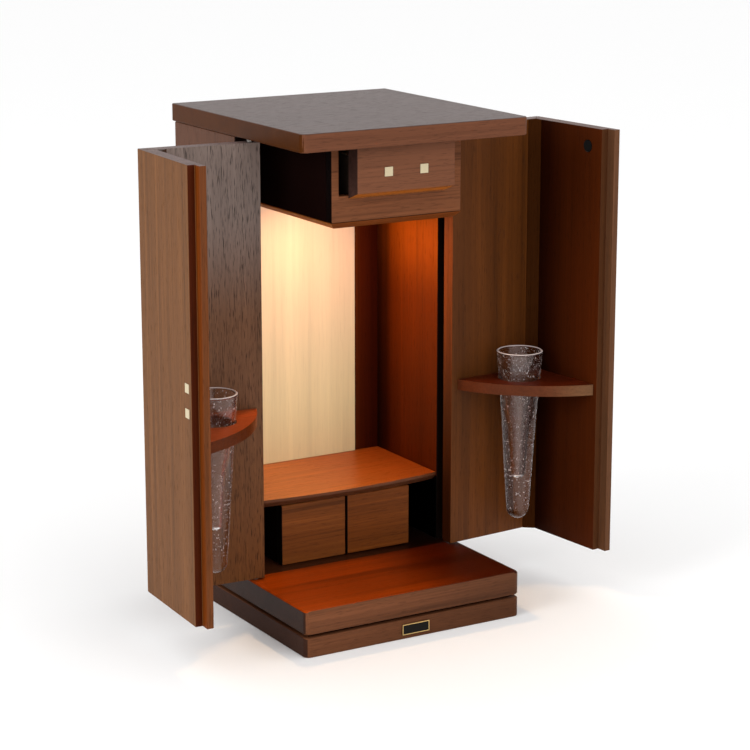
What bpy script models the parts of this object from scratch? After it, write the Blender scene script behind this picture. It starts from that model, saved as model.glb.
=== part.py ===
"""Small household altar cabinet in walnut, with two wrap-round doors that stand open.

Metres, +Z up. The origin is on the underside, at the middle of the plinth.
The cabinet faces -Y. Each door is an L in plan: a side board on a pivot and a front board.
"""

import math

import bmesh
import bpy
from mathutils import Matrix, Vector

MM = 0.001

# Overall sizes
WIDTH = 170.0 * MM
DEPTH = 184.0 * MM
TOP_THICKNESS = 12.0 * MM
CORNER_RADIUS = 4.0 * MM
EASE = 0.5 * MM
JOINT_GAP = 0.3 * MM

# Base: a plinth board, a thin spacer that leaves a shadow groove, and a thicker slab
BASE_SIDE_INSET = 1.0 * MM
BASE_FRONT_INSET = 1.5 * MM
PLINTH_HEIGHT = 13.5 * MM
SPACER_INSET = 4.0 * MM
SPACER_THICKNESS = 1.4 * MM
SLAB_THICKNESS = 16.5 * MM
SLAB_CHAMFER = 1.0 * MM

# Cabinet body
BODY_HEIGHT = 300.4 * MM
WALL = 10.5 * MM
WALL_BACK_INSET = 2.0 * MM
WALL_FRONT_GAP = 5.3 * MM
BACK_THICKNESS = 5.5 * MM
BACK_INSET = 2.2 * MM
LINER_WIDTH = 105.0 * MM
LINER_THICKNESS = 2.0 * MM

# Shelf and the two small drawers under it
SHELF_OVERHANG = 6.4 * MM
SHELF_BOW = 6.0 * MM
SHELF_THICKNESS = 6.0 * MM
SHELF_LIP = 2.0 * MM
SHELF_HEIGHT = 43.7 * MM
DRAWER_FACE = 1.9 * MM
DRAWER_FRONT_WIDTH = 50.5 * MM
DRAWER_FRONT_GAP = 1.5 * MM
DRAWER_FRONT_THICKNESS = 8.0 * MM
DRAWER_OVERLAP = 0.8 * MM
DRAWER_CLEAR = 0.5 * MM
UPRIGHT = 3.0 * MM
TRAY_WALL = 3.0 * MM
TRAY_FLOOR = 2.5 * MM
TRAY_BELOW_TOP = 4.0 * MM
LOWER_TRAY_DEPTH = 60.0 * MM

# Upper case, which hangs from the top and holds the lamp and one drawer
CASE_WIDTH = 98.2 * MM
CASE_SETBACK = 26.5 * MM
CASE_FACE_THICKNESS = 7.0 * MM
CASE_STILE = 5.3 * MM
CASE_TOP_RAIL = 2.5 * MM
CASE_BOARD = 4.0 * MM
CASE_APRON = 17.0 * MM
CASE_DRAWER_ROOM = 33.7 * MM
CASE_SIDE = 5.0 * MM
UPPER_FRONT_WIDTH = 73.6 * MM
UPPER_FRONT_THICKNESS = 11.7 * MM
UPPER_FRONT_HEIGHT = 34.0 * MM
UPPER_FRONT_DROP = 2.0 * MM
UPPER_FRONT_SLANT = 4.5 * MM
UPPER_TRAY_WIDTH = 70.0 * MM
UPPER_TRAY_DEPTH = 110.0 * MM
LAMP_RADIUS = 12.0 * MM
LAMP_DEPTH = 2.5 * MM
LAMP_FROM_FRONT = 85.0 * MM

# Doors
DOOR_BOARD = 9.5 * MM
DOOR_SETBACK = 4.0 * MM
DOOR_GAP_BELOW = 1.3 * MM
DOOR_GAP_ABOVE = 2.5 * MM
PIVOT_Y = -11.2 * MM
PIVOT_TAIL = 5.0 * MM
MEET_X = 0.15 * MM
LAP = 6.5 * MM
LAP_CLEAR = 0.7 * MM
LAP_SPLIT = 0.3 * MM
MITRE_GAP = 0.4 * MM
LEFT_OPEN = math.radians(93.0)
RIGHT_OPEN = math.radians(95.0)
CORNER_STRIP = 6.5 * MM
PIN_RADIUS = 2.0 * MM
PIN_IN_DOOR = 8.0 * MM
PIN_IN_BODY = 5.0 * MM
PIN_CLEAR = 0.3 * MM
CATCH_RADIUS = 4.0 * MM
CATCH_THICKNESS = 1.5 * MM
CATCH_PROUD = 0.3 * MM
CATCH_FROM_MIDDLE = 18.5 * MM
CATCH_BELOW_TOP = 12.8 * MM

# Corner shelf on each door, and the glass vase that drops through it
DOOR_SHELF_REACH = 67.0 * MM
DOOR_SHELF_RADIUS = 108.0 * MM
DOOR_SHELF_THICKNESS = 7.6 * MM
DOOR_SHELF_HEIGHT = 111.7 * MM
VASE_FROM_SIDE = 19.7 * MM
VASE_FROM_FRONT = 27.5 * MM
VASE_ABOVE_SHELF = 17.4 * MM
VASE_LENGTH = 120.5 * MM
VASE_RIM_RADIUS = 16.2 * MM
VASE_NECK_RADIUS = 14.4 * MM
VASE_NECK_DROP = 21.0 * MM
VASE_LOW_RADIUS = 9.5 * MM
VASE_LOW_DROP = 90.0 * MM
VASE_TIP_RADIUS = 8.0 * MM
VASE_TIP_HEIGHT = 8.0 * MM
VASE_MOUTH_WALL = 2.2 * MM
VASE_BORE_RADIUS = 5.0 * MM
VASE_HOLE_CLEAR = 0.6 * MM

# Square inlays and the small plate on the plinth
INLAY = 6.0 * MM
INLAY_DEPTH = 1.0 * MM
INLAY_PROUD = 0.1 * MM
DRAWER_INLAY_PITCH = 26.8 * MM
DRAWER_INLAY_ABOVE_FLOOR = 15.5 * MM
DOOR_INLAY_PITCH = 16.3 * MM
DOOR_INLAY_HEIGHT = 147.5 * MM
DOOR_INLAY_FROM_MIDDLE = 10.6 * MM
PLATE_WIDTH = 21.0 * MM
PLATE_HEIGHT = 7.3 * MM
PLATE_THICKNESS = 0.5 * MM

# Levels and planes worked out from the sizes above
BACK_Y = DEPTH / 2
FRONT_Y = -DEPTH / 2
BASE_HALF = WIDTH / 2 - BASE_SIDE_INSET
BASE_FRONT = FRONT_Y + BASE_FRONT_INSET
BASE_BACK = BACK_Y - BASE_FRONT_INSET
SPACER_BOTTOM = PLINTH_HEIGHT + JOINT_GAP
SLAB_BOTTOM = SPACER_BOTTOM + SPACER_THICKNESS + JOINT_GAP
SLAB_TOP = SLAB_BOTTOM + SLAB_THICKNESS
BODY_BOTTOM = SLAB_TOP + JOINT_GAP
BODY_TOP = BODY_BOTTOM + BODY_HEIGHT
TOP_BOTTOM = BODY_TOP + JOINT_GAP
WALL_OUTER = BASE_HALF
WALL_INNER = WALL_OUTER - WALL
WALL_BACK = BACK_Y - WALL_BACK_INSET
BACK_FACE = WALL_BACK - BACK_INSET - BACK_THICKNESS
LINER_BACK = BACK_FACE - JOINT_GAP
SHELF_BOTTOM = BODY_BOTTOM + SHELF_HEIGHT
SHELF_TOP = SHELF_BOTTOM + SHELF_THICKNESS
SHELF_FRONT = DRAWER_FACE - SHELF_OVERHANG
CASE_FRONT = FRONT_Y + CASE_SETBACK
CASE_FLOOR_TOP = BODY_TOP - CASE_DRAWER_ROOM
CASE_FACE_BOTTOM = CASE_FLOOR_TOP - CASE_APRON
CASE_BOTTOM = CASE_FACE_BOTTOM - JOINT_GAP - CASE_BOARD
DOOR_BOTTOM = SLAB_TOP + DOOR_GAP_BELOW
DOOR_TOP = TOP_BOTTOM - DOOR_GAP_ABOVE
DOOR_OUTER = WALL_OUTER
DOOR_INNER = DOOR_OUTER - DOOR_BOARD
DOOR_FRONT = FRONT_Y + DOOR_SETBACK
DOOR_BACK_FACE = DOOR_FRONT + DOOR_BOARD
PIVOT_X = DOOR_OUTER - DOOR_BOARD / 2
WALL_FRONT = PIVOT_Y + math.hypot(PIVOT_TAIL, DOOR_BOARD / 2) + WALL_FRONT_GAP
DOOR_SHELF_BOTTOM = DOOR_BOTTOM + DOOR_SHELF_HEIGHT
DOOR_SHELF_TOP = DOOR_SHELF_BOTTOM + DOOR_SHELF_THICKNESS

WALNUT = ("walnut", (0.165, 0.075, 0.038, 1.0), 0.42, 0.0)
RED_WALNUT = ("red_walnut", (0.32, 0.085, 0.03, 1.0), 0.32, 0.0)
MAPLE = ("maple", (0.80, 0.60, 0.38, 1.0), 0.5, 0.0)
BLACK = ("black_stain", (0.012, 0.009, 0.008, 1.0), 0.6, 0.0)
PALE_INLAY = ("pale_inlay", (0.78, 0.68, 0.47, 1.0), 0.45, 0.0)
STEEL = ("steel", (0.55, 0.55, 0.56, 1.0), 0.3, 1.0)
RUBBER = ("rubber", (0.02, 0.02, 0.02, 1.0), 0.7, 0.0)
GLASS = ("glass", (0.92, 0.95, 0.96, 1.0), 0.05, 0.0)
LENS = ("lamp_lens", (0.95, 0.88, 0.75, 1.0), 0.4, 0.0)
PLATE = ("plate", (0.06, 0.05, 0.04, 1.0), 0.35, 0.6)


def clear_scene():
    for item in list(bpy.data.objects):
        bpy.data.objects.remove(item, do_unlink=True)


def collection(name):
    made = bpy.data.collections.new(name)
    bpy.context.scene.collection.children.link(made)
    return made


def material(spec):
    name, colour, roughness, metallic = spec
    found = bpy.data.materials.get(name)
    if found:
        return found
    made = bpy.data.materials.new(name)
    made.use_nodes = True
    shader = made.node_tree.nodes["Principled BSDF"]
    shader.inputs["Base Color"].default_value = colour
    shader.inputs["Roughness"].default_value = roughness
    shader.inputs["Metallic"].default_value = metallic
    return made


def link(item, spec, parent=None):
    """Put a finished object in the cabinet's collection, with its material and its parent."""
    CABINET.objects.link(item)
    item.data.materials.clear()
    item.data.materials.append(material(spec))
    item.parent = parent
    return item


def block_mesh(name, size):
    mesh = bpy.data.meshes.new(name)
    shape = bmesh.new()
    bmesh.ops.create_cube(shape, size=1.0)
    bmesh.ops.scale(shape, vec=Vector(size), verts=shape.verts)
    shape.to_mesh(mesh)
    shape.free()
    return mesh


def block(name, low, high, spec, parent=None, ease=EASE):
    """A board between two corners, with its edges slightly eased."""
    low = Vector(low)
    high = Vector(high)
    item = bpy.data.objects.new(name, block_mesh(name, high - low))
    item.location = (low + high) / 2
    link(item, spec, parent)
    if ease:
        add_bevel(item, ease)
    return item


def add_bevel(item, width, segments=1, angle=30.0):
    bevel = item.modifiers.new("Ease", "BEVEL")
    bevel.width = width
    bevel.segments = segments
    bevel.limit_method = "ANGLE"
    bevel.angle_limit = math.radians(angle)
    return bevel


def arc(centre, radius, start, end, steps):
    """Points on an arc, from one angle to another, in degrees."""
    points = []
    for i in range(steps + 1):
        turn = math.radians(start + (end - start) * i / steps)
        points.append((centre[0] + radius * math.cos(turn), centre[1] + radius * math.sin(turn)))
    return points


def outline_board(name, points, bottom, height, spec, parent=None):
    """A flat outline in plan, extruded upwards: a filled 2D curve made into a mesh."""
    curve = bpy.data.curves.new(name + "_outline", "CURVE")
    curve.dimensions = "2D"
    curve.fill_mode = "BOTH"
    curve.extrude = height / 2
    spline = curve.splines.new("POLY")
    spline.points.add(len(points) - 1)
    for point, (x, y) in zip(spline.points, points):
        point.co = (x, y, 0.0, 1.0)
    spline.use_cyclic_u = True
    guide = bpy.data.objects.new(name + "_guide", curve)
    bpy.context.scene.collection.objects.link(guide)
    bpy.context.view_layer.update()
    evaluated = guide.evaluated_get(bpy.context.evaluated_depsgraph_get())
    mesh = bpy.data.meshes.new_from_object(evaluated)
    mesh.name = name
    bpy.data.objects.remove(guide)
    bpy.data.curves.remove(curve)
    shape = bmesh.new()
    shape.from_mesh(mesh)
    bmesh.ops.remove_doubles(shape, verts=shape.verts, dist=0.00001)
    bmesh.ops.dissolve_limit(shape, angle_limit=0.001, verts=shape.verts, edges=shape.edges)
    bmesh.ops.recalc_face_normals(shape, faces=shape.faces)
    shape.to_mesh(mesh)
    shape.free()
    item = bpy.data.objects.new(name, mesh)
    item.location = (0.0, 0.0, bottom + height / 2)
    return link(item, spec, parent)


def cutter_block(name, low, high):
    low = Vector(low)
    high = Vector(high)
    item = bpy.data.objects.new(name, block_mesh(name, high - low))
    item.location = (low + high) / 2
    return hide_cutter(item)


def cutter_rod(name, centre, radius, bottom, top, sides=24, parent=None):
    mesh = bpy.data.meshes.new(name)
    shape = bmesh.new()
    bmesh.ops.create_cone(shape, cap_ends=True, segments=sides, radius1=radius, radius2=radius,
                          depth=top - bottom)
    shape.to_mesh(mesh)
    shape.free()
    item = bpy.data.objects.new(name, mesh)
    item.location = (centre[0], centre[1], (top + bottom) / 2)
    item.parent = parent
    return hide_cutter(item)


def hide_cutter(item):
    CUTTERS.objects.link(item)
    item.hide_render = True
    item.display_type = "WIRE"
    return item


def cut(item, cutter):
    change = item.modifiers.new("Cut", "BOOLEAN")
    change.operation = "DIFFERENCE"
    change.object = cutter
    change.solver = "EXACT"


def rod(name, centre, radius, bottom, top, spec, parent=None, sides=24):
    mesh = bpy.data.meshes.new(name)
    shape = bmesh.new()
    bmesh.ops.create_cone(shape, cap_ends=True, segments=sides, radius1=radius, radius2=radius,
                          depth=top - bottom)
    shape.to_mesh(mesh)
    shape.free()
    item = bpy.data.objects.new(name, mesh)
    item.location = (centre[0], centre[1], (top + bottom) / 2)
    link(item, spec, parent)
    item.data.shade_smooth()
    item.data.set_sharp_from_angle(angle=math.radians(40))
    return item


def square_inlay(name, centre, face_y, host, parent=None):
    """A square let into a face that looks along -Y, with the pocket it sits in."""
    half = INLAY / 2
    room = half + JOINT_GAP / 2
    x, z = centre
    inner = face_y + INLAY_DEPTH
    block(name, (x - half, face_y - INLAY_PROUD, z - half), (x + half, inner, z + half), PALE_INLAY,
          parent, ease=0)
    pocket = cutter_block("cut_" + name, (x - room, face_y - INLAY, z - room),
                          (x + room, inner + JOINT_GAP, z + room))
    pocket.parent = parent
    cut(host, pocket)


def rounded_plan(half_width, front, back, radius, steps=5):
    """A rectangle in plan with round front corners, going anticlockwise from the back left."""
    points = [(-half_width, back)]
    points += arc((-half_width + radius, front + radius), radius, 180, 270, steps)
    points += arc((half_width - radius, front + radius), radius, 270, 360, steps)
    points.append((half_width, back))
    return points


def build_base():
    plan = rounded_plan(BASE_HALF, BASE_FRONT, BASE_BACK, CORNER_RADIUS)
    plinth = outline_board("base_plinth", plan, 0.0, PLINTH_HEIGHT, WALNUT)
    add_bevel(plinth, EASE, angle=60.0)
    low = (-BASE_HALF + SPACER_INSET, BASE_FRONT + SPACER_INSET, SPACER_BOTTOM)
    high = (BASE_HALF - SPACER_INSET, BASE_BACK - SPACER_INSET, SPACER_BOTTOM + SPACER_THICKNESS)
    block("base_spacer", low, high, BLACK, ease=0)
    slab = outline_board("base_slab", plan, SLAB_BOTTOM, SLAB_THICKNESS, RED_WALNUT)
    add_bevel(slab, SLAB_CHAMFER, angle=60.0)
    cut_pin_holes(slab, "slab", SLAB_TOP - PIN_IN_BODY - PIN_CLEAR, SLAB_TOP + PIN_IN_BODY)
    middle = PLINTH_HEIGHT / 2
    low = (-PLATE_WIDTH / 2, BASE_FRONT - JOINT_GAP - PLATE_THICKNESS, middle - PLATE_HEIGHT / 2)
    high = (PLATE_WIDTH / 2, BASE_FRONT - JOINT_GAP, middle + PLATE_HEIGHT / 2)
    block("front_plate", low, high, PLATE, ease=0)


def cut_pin_holes(board, name, bottom, top):
    for side, hand in HANDS:
        hole = cutter_rod("cut_" + name + "_pin_" + hand, (side * PIVOT_X, PIVOT_Y),
                          PIN_RADIUS + PIN_CLEAR, bottom, top, sides=16)
        cut(board, hole)


def build_body():
    for side, hand in HANDS:
        xs = sorted((side * WALL_INNER, side * WALL_OUTER))
        block("side_wall_" + hand, (xs[0], WALL_FRONT, BODY_BOTTOM), (xs[1], WALL_BACK, BODY_TOP),
              WALNUT)
    inner = WALL_INNER - JOINT_GAP
    block("back_board", (-inner, BACK_FACE, BODY_BOTTOM), (inner, BACK_FACE + BACK_THICKNESS, BODY_TOP),
          WALNUT, ease=0)
    block("back_panel", (-LINER_WIDTH / 2, LINER_BACK - LINER_THICKNESS, SHELF_TOP + JOINT_GAP),
          (LINER_WIDTH / 2, LINER_BACK, CASE_BOTTOM - JOINT_GAP), MAPLE, ease=0)
    top = outline_board("top_board", rounded_plan(WIDTH / 2, FRONT_Y, BACK_Y, CORNER_RADIUS),
                        TOP_BOTTOM, TOP_THICKNESS, WALNUT)
    add_bevel(top, EASE, angle=60.0)
    cut_pin_holes(top, "top", TOP_BOTTOM - PIN_IN_BODY, TOP_BOTTOM + PIN_IN_BODY + PIN_CLEAR)


def build_shelf():
    """The full-width shelf: its front bows out between the walls and is undercut."""
    half = WALL_INNER - JOINT_GAP
    back = BACK_FACE - JOINT_GAP
    radius = (half ** 2 + SHELF_BOW ** 2) / (2 * SHELF_BOW)
    spread = math.degrees(math.asin(half / radius))
    plan = [(half, back), (-half, back)]
    plan += arc((0.0, SHELF_FRONT + radius), radius, 270.0 - spread, 270.0 + spread, 16)
    shelf = outline_board("inner_shelf", plan, SHELF_BOTTOM, SHELF_THICKNESS, RED_WALNUT)
    bevel_edges(shelf, SHELF_THICKNESS - SHELF_LIP, front_bottom_edge)


def front_bottom_edge(edge, low, high):
    at_bottom = all(abs(v.co.z - low.z) < 1e-6 for v in edge.verts)
    at_side = abs(edge.verts[0].co.x - edge.verts[1].co.x) < 1e-6
    at_back = all(abs(v.co.y - high.y) < 1e-6 for v in edge.verts)
    return at_bottom and not at_side and not at_back


def bottom_front_and_sides(edge, low, high):
    at_bottom = all(abs(v.co.z - low.z) < 1e-6 for v in edge.verts)
    at_back = all(abs(v.co.y - high.y) < 1e-6 for v in edge.verts)
    return at_bottom and not at_back


def bevel_edges(item, width, wanted):
    """Chamfer the edges of a mesh that the test picks out."""
    shape = bmesh.new()
    shape.from_mesh(item.data)
    low = Vector([min(v.co[axis] for v in shape.verts) for axis in range(3)])
    high = Vector([max(v.co[axis] for v in shape.verts) for axis in range(3)])
    edges = [edge for edge in shape.edges if wanted(edge, low, high)]
    bmesh.ops.bevel(shape, geom=edges, offset=width, offset_type="OFFSET", segments=1,
                    profile=0.5, affect="EDGES", clamp_overlap=True)
    shape.to_mesh(item.data)
    shape.free()


def tray(name, low, high):
    """An open box behind a drawer front: a block with its inside cut out from above."""
    box = block(name, low, high, MAPLE, ease=0)
    inside = cutter_block("cut_" + name, (low[0] + TRAY_WALL, low[1] + TRAY_WALL, low[2] + TRAY_FLOOR),
                          (high[0] - TRAY_WALL, high[1] - TRAY_WALL, high[2] + TRAY_WALL))
    cut(box, inside)


def build_lower_unit():
    """Two small drawers side by side under the shelf, between three upright boards."""
    bottom = BODY_BOTTOM
    top = SHELF_BOTTOM - JOINT_GAP
    back = BACK_FACE - JOINT_GAP
    front_back = DRAWER_FACE + DRAWER_FRONT_THICKNESS
    outer = DRAWER_FRONT_GAP / 2 + DRAWER_FRONT_WIDTH
    case_half = outer - DRAWER_OVERLAP
    uprights = (("left", -case_half, -case_half + UPRIGHT), ("middle", -UPRIGHT / 2, UPRIGHT / 2),
                ("right", case_half - UPRIGHT, case_half))
    for hand, low_x, high_x in uprights:
        block("drawer_upright_" + hand, (low_x, front_back + JOINT_GAP, bottom), (high_x, back, top),
              BLACK, ease=0)
    for side, hand in HANDS:
        xs = sorted((side * DRAWER_FRONT_GAP / 2, side * outer))
        block("lower_drawer_front_" + hand, (xs[0], DRAWER_FACE, bottom + JOINT_GAP),
              (xs[1], front_back, top - JOINT_GAP), WALNUT)
        xs = sorted((side * (UPRIGHT / 2 + DRAWER_CLEAR), side * (case_half - UPRIGHT - DRAWER_CLEAR)))
        tray_front = front_back + JOINT_GAP
        tray("lower_drawer_tray_" + hand, (xs[0], tray_front, bottom + DRAWER_CLEAR),
             (xs[1], tray_front + LOWER_TRAY_DEPTH, top - TRAY_BELOW_TOP))


def build_upper_case():
    """The case that hangs from the top: a framed face, two sides, a floor and a chamfered bottom."""
    half = CASE_WIDTH / 2
    back = BACK_FACE - JOINT_GAP
    behind_face = CASE_FRONT + CASE_FACE_THICKNESS + JOINT_GAP
    face = block("upper_case_face", (-half, CASE_FRONT, CASE_FACE_BOTTOM),
                 (half, CASE_FRONT + CASE_FACE_THICKNESS, BODY_TOP), WALNUT, ease=0)
    hole = cutter_block("cut_case_face", (-half + CASE_STILE, CASE_FRONT - CASE_STILE, CASE_FLOOR_TOP),
                        (half - CASE_STILE, CASE_FRONT + CASE_FACE_THICKNESS + CASE_STILE,
                         BODY_TOP - CASE_TOP_RAIL))
    cut(face, hole)
    for side, hand in HANDS:
        xs = sorted((side * (half - CASE_SIDE), side * half))
        block("upper_case_side_" + hand, (xs[0], behind_face, CASE_FACE_BOTTOM),
              (xs[1], back, BODY_TOP), BLACK, ease=0)
    inside = half - CASE_SIDE - JOINT_GAP
    block("upper_case_floor", (-inside, behind_face, CASE_FLOOR_TOP - CASE_BOARD),
          (inside, back, CASE_FLOOR_TOP), BLACK, ease=0)
    bottom = block("upper_case_bottom", (-half, CASE_FRONT, CASE_BOTTOM),
                   (half, back, CASE_BOTTOM + CASE_BOARD), WALNUT, ease=0)
    bevel_edges(bottom, CASE_BOARD - EASE, bottom_front_and_sides)
    lamp_y = CASE_FRONT + LAMP_FROM_FRONT
    recess = cutter_rod("cut_lamp", (0.0, lamp_y), LAMP_RADIUS + JOINT_GAP,
                        CASE_BOTTOM - LAMP_DEPTH, CASE_BOTTOM + LAMP_DEPTH + JOINT_GAP, sides=32)
    cut(bottom, recess)
    rod("lamp", (0.0, lamp_y), LAMP_RADIUS, CASE_BOTTOM, CASE_BOTTOM + LAMP_DEPTH, LENS, sides=32)


def build_upper_drawer():
    """The upper drawer: a thick front with a slanted underside, two inlaid squares and a tray."""
    half = UPPER_FRONT_WIDTH / 2
    back = CASE_FRONT - JOINT_GAP
    face = back - UPPER_FRONT_THICKNESS
    bottom = CASE_FLOOR_TOP - UPPER_FRONT_DROP
    top = bottom + UPPER_FRONT_HEIGHT
    front = block("upper_drawer_front", (-half, face, bottom), (half, back, top), WALNUT, ease=0)
    for vert in front.data.vertices:
        if vert.co.y < 0.0 and vert.co.z < 0.0:
            vert.co.z += UPPER_FRONT_SLANT
    level = CASE_FLOOR_TOP + DRAWER_INLAY_ABOVE_FLOOR
    for side, hand in HANDS:
        square_inlay("drawer_inlay_" + hand, (side * DRAWER_INLAY_PITCH / 2, level), face, front)
    half = UPPER_TRAY_WIDTH / 2
    tray("upper_drawer_tray", (-half, CASE_FRONT, CASE_FLOOR_TOP + JOINT_GAP),
         (half, CASE_FRONT + UPPER_TRAY_DEPTH, BODY_TOP - TRAY_BELOW_TOP * 2))


def front_board_plan(side):
    """Plan of a door's front board, shut: mitred at the corner and rabbeted where the doors meet."""
    split = DOOR_FRONT + DOOR_BOARD / 2
    if side < 0:
        outer_end = MEET_X - LAP / 2 - LAP_CLEAR
        inner_end = MEET_X + LAP / 2
        step_y = split + LAP_SPLIT / 2
    else:
        outer_end = MEET_X - LAP / 2
        inner_end = MEET_X + LAP / 2 + LAP_CLEAR
        step_y = split - LAP_SPLIT / 2
    corner = side * (DOOR_OUTER - MITRE_GAP / 2)
    inner_corner = side * (DOOR_INNER - MITRE_GAP / 2)
    return [(corner, DOOR_FRONT), (outer_end, DOOR_FRONT), (outer_end, step_y),
            (inner_end, step_y), (inner_end, DOOR_BACK_FACE), (inner_corner, DOOR_BACK_FACE)]


def side_board_plan(side):
    """Plan of a door's side board, shut: mitred at the corner, square at the pivot end."""
    tail = PIVOT_Y + PIVOT_TAIL
    return [(side * DOOR_OUTER, DOOR_FRONT + MITRE_GAP / 2),
            (side * DOOR_INNER, DOOR_BACK_FACE + MITRE_GAP / 2),
            (side * DOOR_INNER, tail), (side * DOOR_OUTER, tail)]


def in_pivot_frame(points, side):
    return [(x - side * PIVOT_X, y - PIVOT_Y) for x, y in points]


def vase_profile():
    """Half-section of the vase: down its outside from the rim, then up its bore to the rim."""
    rim = DOOR_SHELF_TOP + VASE_ABOVE_SHELF
    foot = rim - VASE_LENGTH
    low = rim - VASE_LOW_DROP
    shoulder = foot + VASE_TIP_HEIGHT
    points = [(VASE_RIM_RADIUS, rim), (VASE_NECK_RADIUS, rim - VASE_NECK_DROP),
              (VASE_LOW_RADIUS, low)]
    for i in range(5):
        turn = math.radians(90.0 * i / 5)
        points.append((VASE_TIP_RADIUS * math.cos(turn), shoulder - VASE_TIP_HEIGHT * math.sin(turn)))
    points.append((0.0, foot))
    points.append((0.0, low))
    for i in range(1, 4):
        turn = math.radians(90.0 * i / 3)
        points.append((VASE_BORE_RADIUS * math.sin(turn),
                       low + VASE_BORE_RADIUS * (1.0 - math.cos(turn))))
    points.append((VASE_NECK_RADIUS - VASE_MOUTH_WALL, rim - VASE_NECK_DROP))
    points.append((VASE_RIM_RADIUS - VASE_MOUTH_WALL, rim))
    return points


def build_vase(name, centre, parent):
    """The glass vase: its half-section turned about the vertical."""
    mesh = bpy.data.meshes.new(name)
    shape = bmesh.new()
    verts = [shape.verts.new((r, 0.0, z)) for r, z in vase_profile()]
    edges = []
    for i, vert in enumerate(verts):
        other = verts[(i + 1) % len(verts)]
        if vert.co.x > 0.0 or other.co.x > 0.0:
            edges.append(shape.edges.new((vert, other)))
    bmesh.ops.spin(shape, geom=verts + edges, cent=(0.0, 0.0, 0.0), axis=(0.0, 0.0, 1.0),
                   angle=math.tau, steps=28, use_merge=True)
    bmesh.ops.remove_doubles(shape, verts=shape.verts, dist=0.00001)
    bmesh.ops.recalc_face_normals(shape, faces=shape.faces)
    shape.to_mesh(mesh)
    shape.free()
    item = bpy.data.objects.new(name, mesh)
    item.location = (centre[0], centre[1], 0.0)
    link(item, GLASS, parent)
    item.data.shade_smooth()
    item.data.set_sharp_from_angle(angle=math.radians(50))


def build_door(side, hand, opening):
    """One wrap-round door on its pivot, turned to the angle it stands open at."""
    hinge = bpy.data.objects.new("pivot_" + hand, None)
    CABINET.objects.link(hinge)
    hinge.location = (side * PIVOT_X, PIVOT_Y, 0.0)
    hinge.rotation_euler = (0.0, 0.0, side * opening)

    def local(x, y):
        return (side * (x - PIVOT_X), y - PIVOT_Y)

    height = DOOR_TOP - DOOR_BOTTOM
    front = outline_board("door_front_" + hand, in_pivot_frame(front_board_plan(side), side),
                          DOOR_BOTTOM, height, WALNUT, hinge)
    flank = outline_board("door_side_" + hand, in_pivot_frame(side_board_plan(side), side),
                          DOOR_BOTTOM, height, WALNUT, hinge)
    corner_x = DOOR_INNER - JOINT_GAP
    corner_y = DOOR_BACK_FACE + JOINT_GAP
    strip = [local(corner_x, corner_y), local(corner_x, corner_y + CORNER_STRIP),
             local(corner_x - CORNER_STRIP, corner_y)]
    outline_board("door_corner_strip_" + hand, strip, DOOR_BOTTOM, height, WALNUT, hinge)

    clear = CORNER_STRIP + JOINT_GAP * 1.5
    plan = [local(corner_x - clear, corner_y), local(corner_x, corner_y + clear)]
    beyond = (math.sqrt(2 * DOOR_SHELF_RADIUS ** 2 - DOOR_SHELF_REACH ** 2) - DOOR_SHELF_REACH) / 2
    start = math.degrees(math.asin(beyond / DOOR_SHELF_RADIUS))
    curve = arc((-beyond, -beyond), DOOR_SHELF_RADIUS, start, 90.0 - start, 24)
    plan += [local(corner_x - x, corner_y + y) for x, y in reversed(curve)]
    shelf = outline_board("door_shelf_" + hand, plan, DOOR_SHELF_BOTTOM, DOOR_SHELF_THICKNESS,
                          RED_WALNUT, hinge)
    vase_at = local(DOOR_INNER - VASE_FROM_SIDE, DOOR_BACK_FACE + VASE_FROM_FRONT)
    share = VASE_ABOVE_SHELF / VASE_NECK_DROP
    at_shelf = VASE_RIM_RADIUS + (VASE_NECK_RADIUS - VASE_RIM_RADIUS) * share
    hole = cutter_rod("cut_shelf_" + hand, vase_at, at_shelf + VASE_HOLE_CLEAR,
                      DOOR_SHELF_BOTTOM - DOOR_SHELF_THICKNESS,
                      DOOR_SHELF_TOP + DOOR_SHELF_THICKNESS, sides=32, parent=hinge)
    cut(shelf, hole)
    build_vase("vase_" + hand, vase_at, hinge)

    ends = (("lower", SLAB_TOP - PIN_IN_BODY, DOOR_BOTTOM + PIN_IN_DOOR),
            ("upper", DOOR_TOP - PIN_IN_DOOR, TOP_BOTTOM + PIN_IN_BODY))
    for end, low, high in ends:
        rod("pivot_pin_" + end + "_" + hand, (0.0, 0.0), PIN_RADIUS, low, high, STEEL, hinge, sides=16)
        cutter = cutter_rod("cut_door_pin_" + end + "_" + hand, (0.0, 0.0), PIN_RADIUS + PIN_CLEAR,
                            low - PIN_CLEAR, high + PIN_CLEAR, sides=16, parent=hinge)
        cut(flank, cutter)
    return hinge, front


def add_door_inlays(host, hinge, side):
    """Two square inlays near the meeting edge of the left door."""
    x = side * (DOOR_INLAY_FROM_MIDDLE - PIVOT_X)
    for step, place in ((-0.5, "lower"), (0.5, "upper")):
        z = DOOR_BOTTOM + DOOR_INLAY_HEIGHT + step * DOOR_INLAY_PITCH
        square_inlay("door_inlay_" + place, (x, z), DOOR_FRONT - PIVOT_Y, host, hinge)


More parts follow.
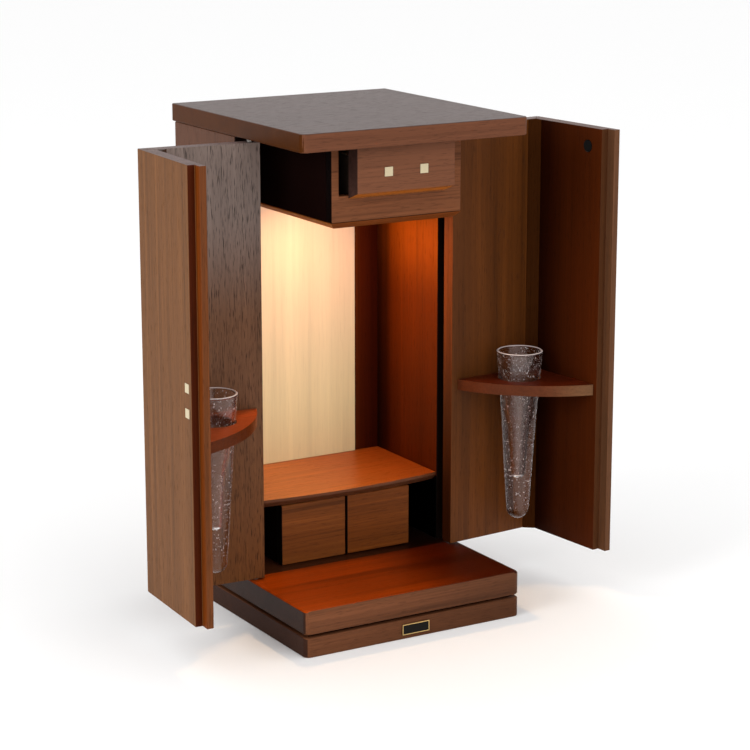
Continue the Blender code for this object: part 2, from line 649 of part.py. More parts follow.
def add_catch(host, hinge, side):
    """The round black catch let into the inside of the right door."""
    centre = (side * (CATCH_FROM_MIDDLE - PIVOT_X), DOOR_TOP - CATCH_BELOW_TOP)
    inner = DOOR_BACK_FACE - PIVOT_Y
    disc = lying_rod_mesh("door_catch", CATCH_RADIUS, CATCH_THICKNESS)
    item = bpy.data.objects.new("door_catch", disc)
    item.location = (centre[0], inner + CATCH_PROUD - CATCH_THICKNESS / 2, centre[1])
    link(item, RUBBER, hinge)
    pocket = bpy.data.objects.new("cut_door_catch", lying_rod_mesh(
        "cut_door_catch", CATCH_RADIUS + JOINT_GAP, (CATCH_THICKNESS + JOINT_GAP) * 2))
    pocket.location = (centre[0], inner + CATCH_PROUD, centre[1])
    pocket.parent = hinge
    cut(host, hide_cutter(pocket))


def lying_rod_mesh(name, radius, length):
    """A short cylinder whose axis lies along Y."""
    mesh = bpy.data.meshes.new(name)
    shape = bmesh.new()
    bmesh.ops.create_cone(shape, cap_ends=True, segments=24, radius1=radius, radius2=radius,
                          depth=length)
    bmesh.ops.rotate(shape, verts=shape.verts, matrix=Matrix.Rotation(math.radians(90.0), 3, "X"))
    shape.to_mesh(mesh)
    shape.free()
    return mesh


HANDS = ((-1, "left"), (1, "right"))
clear_scene()
CABINET = collection("altar_cabinet")
CUTTERS = collection("cutters")
build_base()
build_body()
build_shelf()
build_lower_unit()
build_upper_case()
build_upper_drawer()
left_hinge, left_front = build_door(-1, "left", LEFT_OPEN)
right_hinge, right_front = build_door(1, "right", RIGHT_OPEN)
add_door_inlays(left_front, left_hinge, -1)
add_catch(right_front, right_hinge, 1)
bpy.context.view_layer.update()
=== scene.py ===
import math
import random

import bmesh
import bpy
from mathutils import Matrix, Vector


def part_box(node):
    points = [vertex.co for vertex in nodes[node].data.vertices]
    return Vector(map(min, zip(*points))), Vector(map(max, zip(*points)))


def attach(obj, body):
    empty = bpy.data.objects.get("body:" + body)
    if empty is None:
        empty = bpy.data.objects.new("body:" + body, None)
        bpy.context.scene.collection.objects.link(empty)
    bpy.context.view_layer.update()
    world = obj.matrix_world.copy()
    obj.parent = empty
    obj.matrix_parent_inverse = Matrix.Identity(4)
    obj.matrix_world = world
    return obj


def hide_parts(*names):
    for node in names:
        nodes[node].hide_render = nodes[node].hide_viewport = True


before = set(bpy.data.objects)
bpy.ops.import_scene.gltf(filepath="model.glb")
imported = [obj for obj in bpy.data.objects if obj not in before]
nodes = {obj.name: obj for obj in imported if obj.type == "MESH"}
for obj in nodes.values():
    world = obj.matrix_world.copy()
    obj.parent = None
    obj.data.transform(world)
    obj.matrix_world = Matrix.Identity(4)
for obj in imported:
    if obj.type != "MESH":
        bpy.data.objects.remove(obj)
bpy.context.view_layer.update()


def setInputs(node, values):
    for name, value in values.items():
        node.inputs[name].default_value = value


def plainMaterial(name, colour, roughness, metallic=0.0, specular=0.5):
    mat = bpy.data.materials.new(name)
    mat.use_nodes = True
    shader = mat.node_tree.nodes["Principled BSDF"]
    setInputs(shader, {"Base Color": (*colour, 1.0), "Roughness": roughness, "Metallic": metallic,
                       "Specular IOR Level": specular})
    return mat, shader


def addNode(mat, kind, **settings):
    node = mat.node_tree.nodes.new(kind)
    for key, value in settings.items():
        setattr(node, key, value)
    return node


def joinSockets(mat, outSocket, inSocket):
    mat.node_tree.links.new(outSocket, inSocket)


def mathNode(mat, operation, first, second):
    node = addNode(mat, "ShaderNodeMath", operation=operation)
    for socket, value in zip(node.inputs, (first, second)):
        if hasattr(value, "is_linked"):
            joinSockets(mat, value, socket)
        else:
            socket.default_value = value
    return node.outputs[0]


def ramp(mat, factor, stops):
    node = addNode(mat, "ShaderNodeValToRGB")
    band = node.color_ramp
    band.interpolation = "EASE"
    while len(band.elements) < len(stops):
        band.elements.new(0.5)
    for element, (place, colour) in zip(band.elements, stops):
        element.position = place
        element.color = (*colour, 1.0)
    joinSockets(mat, factor, node.inputs["Fac"])
    return node.outputs["Color"]


def stretchedNoise(mat, coords, scale, detail, roughness, distortion=0.0, offset=(0, 0, 0)):
    mapping = addNode(mat, "ShaderNodeMapping")
    setInputs(mapping, {"Scale": scale, "Location": offset})
    joinSockets(mat, coords, mapping.inputs["Vector"])
    noise = addNode(mat, "ShaderNodeTexNoise")
    setInputs(noise, {"Scale": 1.0, "Detail": detail, "Roughness": roughness, "Distortion": distortion})
    joinSockets(mat, mapping.outputs["Vector"], noise.inputs["Vector"])
    return noise.outputs["Fac"]


def mixColour(mat, factor, first, second, blend="MIX"):
    # In a colour mix, inputs 0, 6 and 7 are the factor and the two colours, and output 2 is the result
    node = addNode(mat, "ShaderNodeMix", data_type="RGBA", blend_type=blend)
    for socket, value in ((node.inputs[0], factor), (node.inputs[6], first), (node.inputs[7], second)):
        if hasattr(value, "is_linked"):
            joinSockets(mat, value, socket)
        elif isinstance(value, float):
            socket.default_value = value
        else:
            socket.default_value = (*value, 1.0)
    return node.outputs[2]


# How wood is drawn: where its dark, middle and light streaks lie, how sharp, rough and deep its pores
# are, how far a board's seed moves its grain, and how squarely a face has to look a given way.
woodRule = {"dark": 0.34, "middle": 0.50, "light": 0.66, "poreEdge": 0.14, "poreRoughness": 0.15,
            "poreBump": 0.0003, "shift": (3.1, 1.7, 2.3), "facing": 0.70}

# Walnut: broad bands, finer streaks, then short dark pores along the grain.
walnut = {"spread": 0.30, "poreDepth": 0.55, "poreAmount": 0.45, "bands": 75.0, "bandStretch": 2.2,
          "bandWeight": 0.4, "streaks": 620.0, "streakStretch": 9.0, "pores": 1500.0,
          "poreStretch": 120.0, "poreStart": 0.56, "roughness": 0.45, "specular": 0.12, "bump": 0.2,
          "zones": (), "fades": ()}


# Which faces take a painted light or shade tone, by the way they look
def facing(mat, direction):
    # 1 where the surface looks along the direction, 0 elsewhere, in the piece's own space
    normal = addNode(mat, "ShaderNodeTexCoord").outputs["Normal"]
    product = addNode(mat, "ShaderNodeVectorMath", operation="DOT_PRODUCT")
    joinSockets(mat, normal, product.inputs[0])
    product.inputs[1].default_value = direction
    return mathNode(mat, "GREATER_THAN", product.outputs["Value"], woodRule["facing"])


def woodMaterial(name, wood, grain, seed, faces=(), **changes):
    spec = dict(wood, **changes)
    mat, shader = plainMaterial(name, spec["tone"], spec["roughness"], specular=spec["specular"])
    coords = addNode(mat, "ShaderNodeTexCoord").outputs["Object"]

    def along(across, run):
        return tuple(run if axis == grain else across for axis in "XYZ")

    shift = tuple(seed * step for step in woodRule["shift"])
    bands = stretchedNoise(mat, coords, along(spec["bands"], spec["bandStretch"]),
                           detail=2.0, roughness=0.5, distortion=0.6, offset=shift)
    streaks = stretchedNoise(mat, coords, along(spec["streaks"], spec["streakStretch"]),
                             detail=3.0, roughness=0.6, distortion=0.2, offset=shift)
    pores = stretchedNoise(mat, coords, along(spec["pores"], spec["poreStretch"]),
                           detail=1.5, roughness=0.55, offset=shift)
    grainValue = mathNode(mat, "ADD", mathNode(mat, "MULTIPLY", bands, spec["bandWeight"]),
                          mathNode(mat, "MULTIPLY", streaks, 1.0 - spec["bandWeight"]))
    poreMask = ramp(mat, pores, [(spec["poreStart"], (0, 0, 0)),
                                 (spec["poreStart"] + woodRule["poreEdge"], (1, 1, 1))])
    # Faces that look another way take their own tone: mostly painted light and shade
    colour = spec["tone"]
    for direction, tone in faces:
        colour = mixColour(mat, facing(mat, direction), colour, tone)
    place = addNode(mat, "ShaderNodeSeparateXYZ")
    joinSockets(mat, coords, place.inputs[0])
    # A zone gives a face another tone below a limit: painted shadow, lit and shaded facets, and near black
    for axis, limit, direction, tone in spec["zones"]:
        inZone = mathNode(mat, "MULTIPLY", mathNode(mat, "LESS_THAN", place.outputs[axis], limit),
                          facing(mat, direction))
        colour = mixColour(mat, inZone, colour, tone)
    # A fade multiplies a face's tone along an axis: painted lamp light, shade and sheen
    for axis, start, end, stops, direction in spec["fades"]:
        run = mathNode(mat, "MULTIPLY", mathNode(mat, "SUBTRACT", place.outputs[axis], start),
                       1.0 / (end - start))
        tints = [(at, share if isinstance(share, tuple) else (share,) * 3) for at, share in stops]
        faded = mixColour(mat, 1.0, colour, ramp(mat, run, tints), "MULTIPLY")
        colour = mixColour(mat, facing(mat, direction), colour, faded)
    spread = spec["spread"]
    shade = ramp(mat, grainValue, [(woodRule["dark"], (1 - spread,) * 3),
                                   (woodRule["middle"], (1 - spread / 2,) * 3),
                                   (woodRule["light"], (1, 1, 1))])
    colour = mixColour(mat, 1.0, colour, shade, "MULTIPLY")
    deep = mixColour(mat, 1.0, colour, (1 - spec["poreDepth"],) * 3, "MULTIPLY")
    amount = mathNode(mat, "MULTIPLY", poreMask, spec["poreAmount"])
    joinSockets(mat, mixColour(mat, amount, colour, deep), shader.inputs["Base Color"])
    poreRoughness = mathNode(mat, "MULTIPLY", poreMask, woodRule["poreRoughness"])
    joinSockets(mat, mathNode(mat, "ADD", poreRoughness, spec["roughness"]), shader.inputs["Roughness"])
    bump = addNode(mat, "ShaderNodeBump", invert=True)
    setInputs(bump, {"Strength": spec["bump"], "Distance": woodRule["poreBump"]})
    joinSockets(mat, poreMask, bump.inputs["Height"])
    joinSockets(mat, bump.outputs["Normal"], shader.inputs["Normal"])
    return mat


def dress(node, mat):
    nodes[node].data.materials.clear()
    nodes[node].data.materials.append(mat)


# A board's edges: its corners are joined, then eased where they are sharper than the angle.
boardEdge = {"weld": 0.00002, "ease": 0.0004, "segments": 2, "angle": 35}


def easeEdges(node):
    weld = nodes[node].modifiers.new("joinCorners", "WELD")
    weld.merge_threshold = boardEdge["weld"]
    soften = nodes[node].modifiers.new("easedEdges", "BEVEL")
    soften.width = boardEdge["ease"]
    soften.segments = boardEdge["segments"]
    soften.limit_method = "ANGLE"
    soften.angle_limit = math.radians(boardEdge["angle"])
    soften.harden_normals = True


left, front, up, right = (-1, 0, 0), (0, -1, 0), (0, 0, 1), (1, 0, 0)
# The slanted underside of the upper drawer's front, painted with lamp glow from below, and the round
# edges of the door shelves, painted with highlights
undercut, leftArc, rightArc = (0, -0.36, -0.93), (0.707, -0.707, 0), (-0.707, -0.707, 0)
# Near black for the inner faces under the shelf; the door boards' tops painted lighter, as lit from above;
# the doors' outer tone
underShelfBlack, litTop, outerTone = (0.002, 0.0015, 0.001), (0.19, 0.125, 0.11), (0.194, 0.0765, 0.0235)

# Where tones change: the inner shelf's height, below which the inner faces are near black, the depth
# of a door's lap and of the end of its lip, the end of the painted shadow and reflection on the slab
# before the drawers, the slab's front edge, and the painted shade at the back corner and the panel
lowZone, lapDepth, endDepth, slabShadeEnd, edgeRun = 0.079, 0.0068, 0.0020, -0.0080, 0.0009
cornerShade, panelShade, slabSpan = 0.040, 0.020, (-0.085, 0.085)
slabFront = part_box("base_slab")[0][1]
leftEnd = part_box("door_front_left")[0][1]
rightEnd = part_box("door_front_right")[0][1]
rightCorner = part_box("door_front_right")[1][1]
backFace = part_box("back_board")[0][1]
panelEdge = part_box("back_panel")[1][0]
shelfSpan = {hand: [corner[0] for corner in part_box("door_shelf_" + hand)] for hand in ("left", "right")}

# Each walnut board: the way its grain runs, its seed, its tone, the tones of faces that differ, and what
# else it changes. Most face tones are painted light and shade, set by which way a face looks. A zone
# gives a face another tone up to a limit along an axis: painted shadow, lit and shaded facets, and near
# black under the inner shelf. A fade multiplies a face's tone from one place along an axis to another:
# painted lamp light, shade and sheen.
boards = {
    # Top board: its top painted a grey sheen, its left side painted in shade
    "top_board": ("X", 1.0, (0.154, 0.056, 0.028),
                  [(left, (0.076, 0.020, 0.002)), (up, (0.098, 0.060, 0.052))],
                  {"roughness": 0.33, "specular": 0.055}),
    # Plinth: its left side painted in shade, its front painted darker toward the right
    "base_plinth": ("X", 2.0, (0.150, 0.054, 0.023), [(left, (0.044, 0.017, 0.010))],
                    {"specular": 0.05, "fades": [("X", *slabSpan, [(0.0, 1.0), (1.0, 0.60)], front)]}),
    # Slab: its top painted lamp-lit in front of a painted shadow and reflection before the drawers, darker
    # toward the right
    "base_slab": ("X", 17.0, (0.160, 0.057, 0.024),
                  [(up, (0.075, 0.020, 0.007)), (left, (0.040, 0.014, 0.007)),
                   (front, (0.183, 0.065, 0.027))],
                  {"roughness": 0.28, "specular": 0.08, "spread": 0.5, "bandWeight": 0.55, "bands": 110.0,
                   "zones": [("Y", slabShadeEnd, up, (0.43, 0.054, 0.0018)),
                             ("Y", slabFront + edgeRun, up, (0.183, 0.065, 0.027))],
                   "fades": [("X", *slabSpan, [(0.0, 1.0), (0.40, 0.68), (0.85, (0.15, 0.10, 0.07)),
                                               (1.0, (0.13, 0.09, 0.06))], up),
                             ("X", *slabSpan, [(0.0, 1.0), (1.0, 0.62)], front)]}),
    # Left wall: its front edge painted in shade
    "side_wall_left": ("Z", 3.0, (0.11, 0.040, 0.018), [(front, (0.012, 0.004, 0.002))],
                       {"zones": [("Z", lowZone, right, underShelfBlack)]}),
    # Right wall: its inside painted lamp-lit, darker low down and toward the back corner as painted shade;
    # its front edge painted in shade
    "side_wall_right": ("Z", 4.0, (0.11, 0.040, 0.018),
                        [(left, (0.46, 0.080, 0.0024)), (front, (0.008, 0.003, 0.0015))],
                        {"specular": 0.04, "bandWeight": 0.7, "spread": 0.4,
                         "zones": [("Z", lowZone, left, underShelfBlack)],
                         "fades": [("Z", 0.10, 0.28,
                                    [(0.0, (0.26, 0.21, 0.2)), (0.55, (0.38, 0.32, 0.22)),
                                     (0.9, (0.9, 0.96, 0.96)), (1.0, (1.0, 1.1, 1.2))], left),
                                   ("Y", backFace, backFace - cornerShade,
                                    [(0.0, 0.16), (0.25, 0.30), (0.6, 0.80), (1.0, 1.0)], left)]}),
    # Back board: its front edge painted lamp-lit red, with painted shade beside the maple panel
    "back_board": ("Z", 5.0, (0.15, 0.055, 0.025), [(front, (0.110, 0.022, 0.0030))],
                   {"specular": 0.04, "zones": [("Z", lowZone, front, underShelfBlack)],
                    "fades": [("X", panelEdge, panelEdge + panelShade,
                               [(0.0, 1.0), (0.35, (0.55, 0.35, 0.3)), (1.0, (0.34, 0.18, 0.15))], front)]}),
    # Inner shelf: its top painted lamp-lit orange, darker toward the right as painted shade
    "inner_shelf": ("X", 18.0, (0.13, 0.042, 0.017), [(up, (0.62, 0.182, 0.032))],
                    {"roughness": 0.3, "spread": 0.4, "poreAmount": 0.6,
                     "fades": [("X", -0.055, 0.075, [(0.0, 1.0), (1.0, (0.68, 0.42, 0.27))], up)]}),
    "lower_drawer_front_left": ("X", 6.0, (0.230, 0.063, 0.0105), [(left, (0.006, 0.003, 0.002))],
                                {"spread": 0.62, "bandWeight": 0.55, "bands": 170.0}),
    "lower_drawer_front_right": ("X", 7.0, (0.213, 0.053, 0.0062), [(left, (0.006, 0.003, 0.002))],
                                 {"spread": 0.62, "bandWeight": 0.55, "bands": 170.0}),
    "upper_case_face": ("X", 8.0, (0.207, 0.071, 0.028), [(left, (0.004, 0.002, 0.002))],
                        {"spread": 0.5, "specular": 0.07}),
    # Case bottom and upper drawer front: their left edge and slanted underside painted with lamp glow from
    # below
    "upper_case_bottom": ("X", 9.0, (0.17, 0.040, 0.006), [(left, (0.42, 0.120, 0.018))],
                          {"specular": 0.06}),
    "upper_drawer_front": ("X", 10.0, (0.225, 0.080, 0.036),
                           [(left, (0.065, 0.030, 0.023)), (undercut, (0.42, 0.115, 0.012))],
                           {"spread": 0.55, "bandWeight": 0.6}),
    # Left door front: its lip's front face, lap and end painted lit and shaded
    "door_front_left": ("Z", 11.0, outerTone, [(front, (0.075, 0.011, 0.001)), (up, litTop)],
                        {"spread": 0.5, "specular": 0.06, "poreAmount": 0.5, "bandWeight": 0.45,
                         "bands": 150.0,
                         "zones": [("Y", leftEnd + lapDepth, left, (0.178, 0.038, 0.0034)),
                                   ("Y", leftEnd + endDepth, front, (0.168, 0.050, 0.0145))]}),
    # Left door side: its inside painted lit, paler and greyer toward the top as a painted sheen
    "door_side_left": ("Z", 12.0, (0.15, 0.058, 0.025), [(front, (0.245, 0.135, 0.078)), (up, litTop)],
                       {"poreAmount": 1.0, "poreDepth": 0.80, "pores": 2300.0, "poreStart": 0.55,
                        "spread": 0.4, "bandWeight": 0.5,
                        "fades": [("Z", 0.05, 0.31, [(0.0, (0.62, 0.38, 0.18)), (0.6, (0.67, 0.52, 0.42)),
                                                     (0.95, (0.96, 1.28, 1.90))], front)]}),
    # Right door front: its inside painted in shade, darkest by the corner; its lip's lap and end painted lit
    # and shaded
    "door_front_right": ("Z", 13.0, (0.16, 0.063, 0.025),
                         [(left, (0.070, 0.013, 0.0018)), (front, (0.085, 0.030, 0.011)),
                          (right, outerTone), (up, litTop)],
                         {"specular": 0.04,
                          "zones": [("Y", rightEnd + lapDepth, left, (0.112, 0.047, 0.021)),
                                    ("Y", rightEnd + endDepth, front, (0.138, 0.058, 0.027))],
                          "fades": [("Y", rightCorner, rightEnd,
                                     [(0.0, (0.18, 0.14, 0.10)), (0.22, (0.30, 0.25, 0.2)),
                                      (0.55, (0.78, 0.75, 0.7)), (1.0, 1.0)], left)]}),
    # Right door side: its faces painted lit and shaded, the front darker above the foot, the left side
    # darker low down
    "door_side_right": ("Z", 14.0, (0.15, 0.058, 0.025),
                        [(front, (0.164, 0.046, 0.0066)), (left, (0.30, 0.065, 0.010)), (up, litTop)],
                        {"spread": 0.5, "bandWeight": 0.65,
                         "fades": [("Z", 0.04, 0.16, [(0.0, 1.0), (1.0, 0.70)], front),
                                   ("Z", 0.05, 0.28, [(0.0, 0.2), (1.0, 1.0)], left)]}),
    "door_corner_strip_left": ("Z", 15.0, (0.05, 0.022, 0.012), [], {"specular": 0.05}),
    "door_corner_strip_right": ("Z", 16.0, (0.045, 0.013, 0.003), [],
                                {"specular": 0.0, "roughness": 0.8}),
    # Door shelves: their tops painted lamp-lit, their round ends painted with highlights
    "door_shelf_left": ("X", 19.0, (0.105, 0.020, 0.003), [(up, (0.44, 0.072, 0.014))],
                        {"roughness": 0.35, "specular": 0.05, "spread": 0.4, "poreAmount": 0.7,
                         "fades": [("X", *shelfSpan["left"],
                                    [(0.0, 1.0), (0.6, 1.0), (1.0, (2.4, 2.3, 2.6))], leftArc)]}),
    "door_shelf_right": ("X", 20.0, (0.150, 0.050, 0.020), [(up, (0.08, 0.010, 0.002))],
                         {"roughness": 0.35, "specular": 0.08,
                          "fades": [("X", *shelfSpan["right"],
                                     [(0.0, (0.74, 0.50, 0.36)), (0.5, (0.82, 0.62, 0.5)),
                                      (1.0, (1.1, 1.5, 1.6))], rightArc)]}),
}
for node, (grain, seed, tone, faces, changes) in boards.items():
    dress(node, woodMaterial(node + "Wood", walnut, grain, seed, faces, tone=tone, **changes))
    easeEdges(node)
print("walnut boards done")

# Maple: pale and even, its grain faint. The panel is painted bluer toward the top and warmer low down,
# a painted tint of the lamp's light; the trays' left sides are painted in shade
maple = dict(walnut, tone=(0.83, 0.69, 0.47), spread=0.14, poreDepth=0.3, poreAmount=0.15, bands=60.0,
             bandStretch=2.0, bandWeight=0.5, streaks=300.0, streakStretch=6.0, pores=1200.0,
             poreStretch=60.0, roughness=0.5, specular=0.25, bump=0.03,
             fades=[("Z", 0.09, 0.28, [(0.0, (1.0, 1.03, 0.88)), (1.0, (0.86, 0.80, 1.06))], front)])
dress("back_panel", woodMaterial("maplePanel", maple, "Z", 1.0))
mapleTray = woodMaterial("mapleTray", maple, "Y", 2.0, [(left, (0.02, 0.012, 0.008))], fades=())
for node in ("upper_drawer_tray", "lower_drawer_tray_left", "lower_drawer_tray_right"):
    dress(node, mapleTray)

# Plain parts: colour, roughness, metal, specular, and the pieces that wear it
plainParts = {
    # Near black on the spacer under the slab, the uprights beside the drawers, and the upper case's sides
    # and floor
    "nearBlackPlain": ((0.007, 0.0015, 0.001), 0.7, 0.0, 0.05,
                   ("base_spacer", "drawer_upright_left", "drawer_upright_middle", "drawer_upright_right",
                    "upper_case_side_left", "upper_case_side_right", "upper_case_floor")),
    "paleInlay": ((0.54, 0.45, 0.28), 0.4, 0.0, 0.5,
                  ("door_inlay_lower", "door_inlay_upper", "drawer_inlay_left", "drawer_inlay_right")),
    "pinSteel": ((0.30, 0.28, 0.26), 0.4, 1.0, 0.5,
                 ("pivot_pin_lower_left", "pivot_pin_upper_left", "pivot_pin_lower_right",
                  "pivot_pin_upper_right")),
    "blackRubber": ((0.004, 0.004, 0.004), 0.8, 0.0, 0.1, ("door_catch",)),
}
for name, (colour, roughness, metallic, specular, wearers) in plainParts.items():
    plainMat, _ = plainMaterial(name, colour, roughness, metallic, specular)
    for node in wearers:
        dress(node, plainMat)

lampMat, lampShader = plainMaterial("lampLens", (0.9, 0.85, 0.75), 0.4)
setInputs(lampShader, {"Emission Color": (1.0, 0.62, 0.30, 1.0), "Emission Strength": 150.0})
dress("lamp", lampMat)
print("small parts done")


def addObject(name, data):
    thing = bpy.data.objects.new(name, data)
    bpy.context.scene.collection.objects.link(thing)
    return thing


def makeMesh(name, shape, mat):
    mesh = bpy.data.meshes.new(name)
    shape.to_mesh(mesh)
    shape.free()
    mesh.materials.append(mat)
    return mesh


def meshPiece(name, shape, mat, body, node=None, smooth=False):
    bmesh.ops.recalc_face_normals(shape, faces=shape.faces)
    mesh = makeMesh(name, shape, mat)
    if smooth:
        mesh.shade_smooth()
    piece = addObject(name, mesh)
    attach(piece, body)
    if node:
        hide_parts(node)
    return piece


# Plate on the plinth: a dark plate with a raised gold rim, left bare inside.
plate = {"rim": 0.00055, "rimProud": 0.00012, "rimSunk": 0.9}
plateBlack, _ = plainMaterial("plateBlack", (0.006, 0.005, 0.004), 0.4, specular=0.1)
plateGold, _ = plainMaterial("plateGold", (0.72, 0.50, 0.20), 0.3, 1.0)
low, high = [Vector(corner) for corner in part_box("front_plate")]
dress("front_plate", plateBlack)
shape = bmesh.new()
corners = [(low.x, low.z), (high.x, low.z), (high.x, high.z), (low.x, high.z)]
face = shape.faces.new([shape.verts.new((x, low.y - plate["rimProud"], z)) for x, z in corners])
face.normal_update()
bmesh.ops.inset_region(shape, faces=[face], thickness=plate["rim"], use_even_offset=True,
                       use_boundary=True)
bmesh.ops.delete(shape, geom=[face], context="FACES")
raised = bmesh.ops.extrude_face_region(shape, geom=shape.faces[:])
bmesh.ops.translate(shape, vec=(0, plate["rimProud"] * plate["rimSunk"], 0),
                    verts=[v for v in raised["geom"] if isinstance(v, bmesh.types.BMVert)])
meshPiece("plateRim", shape, plateGold, "cabinet")
print("front plate done")

# Glass vases: a thick tapered tube with a rounded foot, rippled outside and full of fine seeds. Drops
# are measured down from the rim, and the lift raises the rim above the plain solid's.
vase = {"rim": 0.0162, "neck": 0.0144, "neckDrop": 0.021, "waist": 0.0118, "waistDrop": 0.055,
        "low": 0.0095, "lowDrop": 0.0922, "tip": 0.0080, "tipHeight": 0.0080, "length": 0.1227,
        "lift": 0.0022, "mouthWall": 0.0022, "boreWaist": 0.0052, "bore": 0.0034, "lipDrop": 0.0006,
        "lipTop": 0.0001, "lipZone": 0.00065, "lipEdge": 0.7, "lipMiddle": 0.35, "smoothing": 8,
        "footTurns": range(12, 84, 12), "boreTurns": range(15, 91, 15), "turns": 72,
        "onAxis": 0.000001, "merge": 0.00001}
glassLook = {"grain": (260, 260, 150), "cells": 420.0, "crackWidth": 0.07, "crackShare": 0.6,
             "strength": 0.12, "depth": 0.0006}
glassMat, glass = plainMaterial("vaseGlass", (1.0, 0.95, 0.94), 0.02)
setInputs(glass, {"Transmission Weight": 1.0, "IOR": 1.45, "Specular Tint": (1.0, 0.88, 0.85, 1.0),
                  "Sheen Weight": 0.3, "Sheen Roughness": 0.3, "Sheen Tint": (1.0, 0.86, 0.84, 1.0)})
coords = addNode(glassMat, "ShaderNodeTexCoord").outputs["Object"]
rippleNoise = stretchedNoise(glassMat, coords, glassLook["grain"], detail=2.0, roughness=0.6)
cells = addNode(glassMat, "ShaderNodeTexVoronoi", feature="DISTANCE_TO_EDGE")
cells.inputs["Scale"].default_value = glassLook["cells"]
joinSockets(glassMat, coords, cells.inputs["Vector"])
cracks = ramp(glassMat, cells.outputs["Distance"], [(0.0, (1, 1, 1)), (glassLook["crackWidth"], (0, 0, 0))])
height = mathNode(glassMat, "ADD", mathNode(glassMat, "MULTIPLY", rippleNoise, 1 - glassLook["crackShare"]),
                  mathNode(glassMat, "MULTIPLY", cracks, glassLook["crackShare"]))
ripple = addNode(glassMat, "ShaderNodeBump")
setInputs(ripple, {"Strength": glassLook["strength"], "Distance": glassLook["depth"]})
joinSockets(glassMat, height, ripple.inputs["Height"])
joinSockets(glassMat, ripple.outputs["Normal"], glass.inputs["Normal"])

lipMat, lipShader = plainMaterial("vaseLip", (0.86, 0.74, 0.72), 0.25)
lipShader.inputs["Transmission Weight"].default_value = 0.3
seedMat, _ = plainMaterial("vaseSeeds", (0.92, 0.80, 0.78), 0.3)


def smoothRun(points, steps):
    # A smooth curve through a few profile points
    run = []
    for i in range(len(points) - 1):
        before = points[max(i - 1, 0)]
        start, end = points[i], points[i + 1]
        after = points[min(i + 2, len(points) - 1)]
        for s in range(steps):
            t = s / steps
            run.append(tuple(0.5 * (2 * b + (c - a) * t + (2 * a - 5 * b + 4 * c - d) * t * t
                                    + (3 * b - a - 3 * c + d) * t ** 3)
                             for a, b, c, d in zip(before, start, end, after)))
    run.append(points[-1])
    return run


def vaseProfile(rimZ):
    foot, lowZ = rimZ - vase["length"], rimZ - vase["lowDrop"]
    waistZ, neckZ, lipZ = rimZ - vase["waistDrop"], rimZ - vase["neckDrop"], rimZ - vase["lipDrop"]
    wall, tip, bore = vase["mouthWall"], vase["tip"], vase["bore"]
    outer = smoothRun([(vase["rim"], lipZ), (vase["neck"], neckZ), (vase["waist"], waistZ),
                       (vase["low"], lowZ), (tip, foot + vase["tipHeight"])], vase["smoothing"])
    for turn in vase["footTurns"]:
        angle = math.radians(turn)
        outer.append((tip * math.cos(angle), foot + vase["tipHeight"] * (1 - math.sin(angle))))
    outer.append((0.0, foot))
    inner = [(0.0, lowZ)]
    for turn in vase["boreTurns"]:
        angle = math.radians(turn)
        inner.append((bore * math.sin(angle), lowZ + bore * (1 - math.cos(angle))))
    inner += smoothRun([(vase["boreWaist"], waistZ), (vase["neck"] - wall, neckZ),
                        (vase["rim"] - wall * vase["lipEdge"], lipZ)], vase["smoothing"])
    inner.append((vase["rim"] - wall * vase["lipMiddle"], rimZ - vase["lipTop"]))
    return outer + inner


def radiusAt(run, z):
    # The outside radius of the profile at a height, between its two nearest points
    for (wide, above), (narrow, below) in zip(run, run[1:]):
        if above > below and above >= z >= below:
            return narrow + (wide - narrow) * (z - below) / (above - below)
    return vase["tip"]


# Seeds in the glass: small bubbles near its outside, larger and closer together round the mouth
bubbles = {"count": 560, "small": 0.00012, "large": 0.00032, "rimClear": 0.002, "mouthZone": 0.026,
           "mouthShare": 0.14, "mouthSize": 1.3, "sink": (0.2, 1.6), "stretch": (1.0, 2.4)}


def seedShape(run, centre, rimZ, seed):
    chance = random.Random(seed)
    shape = bmesh.new()
    for _ in range(bubbles["count"]):
        inMouth = chance.random() < bubbles["mouthShare"]
        deepest = bubbles["mouthZone"] if inMouth else vase["length"] - vase["tipHeight"]
        z = rimZ - chance.uniform(bubbles["rimClear"], deepest)
        size = chance.uniform(bubbles["small"], bubbles["large"])
        size *= bubbles["mouthSize"] if inMouth else 1.0
        turn = chance.uniform(0, math.tau)
        reach = radiusAt(run, z) - size * chance.uniform(*bubbles["sink"])
        place = Vector((centre.x + reach * math.cos(turn), centre.y + reach * math.sin(turn), z))
        stretch = Matrix.Diagonal((1.0, 1.0, chance.uniform(*bubbles["stretch"]), 1.0))
        bmesh.ops.create_icosphere(shape, subdivisions=1, radius=size,
                                   matrix=Matrix.Translation(place) @ stretch)
    return shape


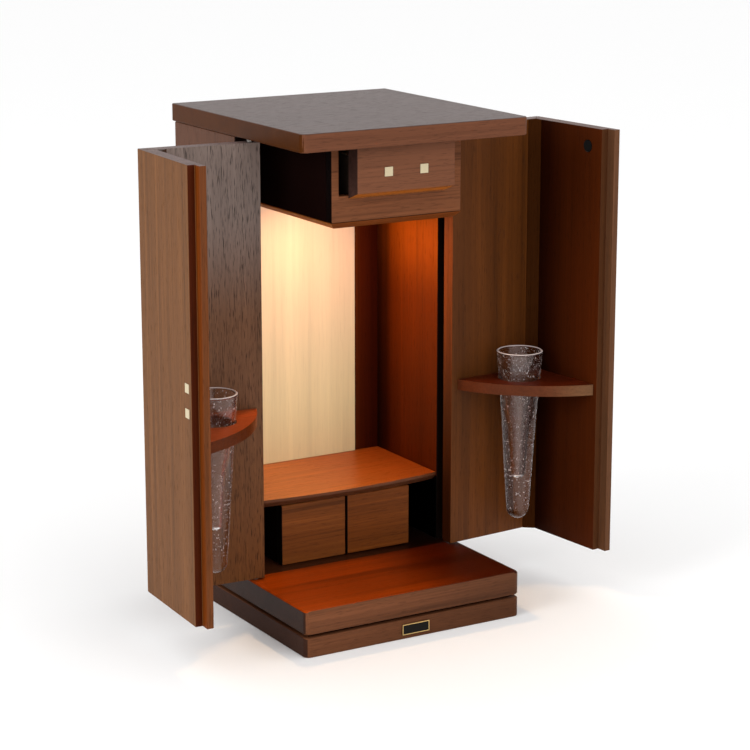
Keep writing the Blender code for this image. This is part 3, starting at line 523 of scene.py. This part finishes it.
for hand, seed in (("left", 5), ("right", 9)):
    body = "door_" + hand
    low, high = [Vector(corner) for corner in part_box("vase_" + hand)]
    centre = (low + high) / 2
    rimZ = high.z + vase["lift"]
    profile = vaseProfile(rimZ)
    shape = bmesh.new()
    ring = [shape.verts.new((centre.x + r, centre.y, z)) for r, z in profile]
    edges = [shape.edges.new(pair) for pair in zip(ring, ring[1:] + ring[:1])
             if max(vert.co.x for vert in pair) > centre.x + vase["onAxis"]]
    bmesh.ops.spin(shape, geom=ring + edges, cent=(centre.x, centre.y, 0), axis=(0, 0, 1),
                   angle=math.tau, steps=vase["turns"], use_merge=True)
    bmesh.ops.remove_doubles(shape, verts=shape.verts, dist=vase["merge"])
    for face in shape.faces:
        face.material_index = int(min(vert.co.z for vert in face.verts) > rimZ - vase["lipZone"])
    piece = meshPiece("vaseGlass_" + hand, shape, glassMat, body, "vase_" + hand, smooth=True)
    piece.data.materials.append(lipMat)
    meshPiece("vaseSeeds_" + hand, seedShape(profile, centre, rimZ, seed), seedMat, body, smooth=True)
print("glass vases done")

# A pale floor, even light all round, two soft lights, and the camera
floorSize = 15.0
floorMat, _ = plainMaterial("paleFloor", (0.97, 0.97, 0.97), 0.9)
shape = bmesh.new()
bmesh.ops.create_grid(shape, x_segments=1, y_segments=1, size=floorSize)
floor = addObject("floor", makeMesh("floor", shape, floorMat))

world = bpy.data.worlds.new("studio")
bpy.context.scene.world = world
bpy.context.scene.view_settings.view_transform = "Standard"
world.use_nodes = True
setInputs(world.node_tree.nodes["Background"], {"Color": (1.0, 1.0, 1.0, 1.0), "Strength": 1.0})

lights = {"keyLeft": {"place": (-2.2, -0.5, 1.1), "target": (0, 0, 0.18), "size": (1.0, 1.0),
                      "power": 18.0},
          "frontFill": {"place": (0.3, -2.2, 1.4), "target": (0, 0, 0.15), "size": (1.6, 1.0),
                        "power": 10.0}}
for name, light in lights.items():
    data = bpy.data.lights.new(name, "AREA")
    data.shape = "RECTANGLE"
    data.size, data.size_y = light["size"]
    data.energy = light["power"]
    softLight = addObject(name, data)
    softLight.location = light["place"]
    aim = Vector(light["target"]) - Vector(light["place"])
    softLight.rotation_euler = aim.to_track_quat("-Z", "Y").to_euler()

view = {"lens": 114.18, "sensor": 36.0, "place": (-0.79511, -1.37744, 0.54655), "yaw": 30.6815,
        "pitch": -13.587}
camera = addObject("camera", bpy.data.cameras.new("camera"))
camera.data.lens = view["lens"]
camera.data.sensor_width = view["sensor"]
camera.location = view["place"]
camera.rotation_euler = (math.radians(90 + view["pitch"]), 0, math.radians(-view["yaw"]))
bpy.context.scene.camera = camera
print("stage done")
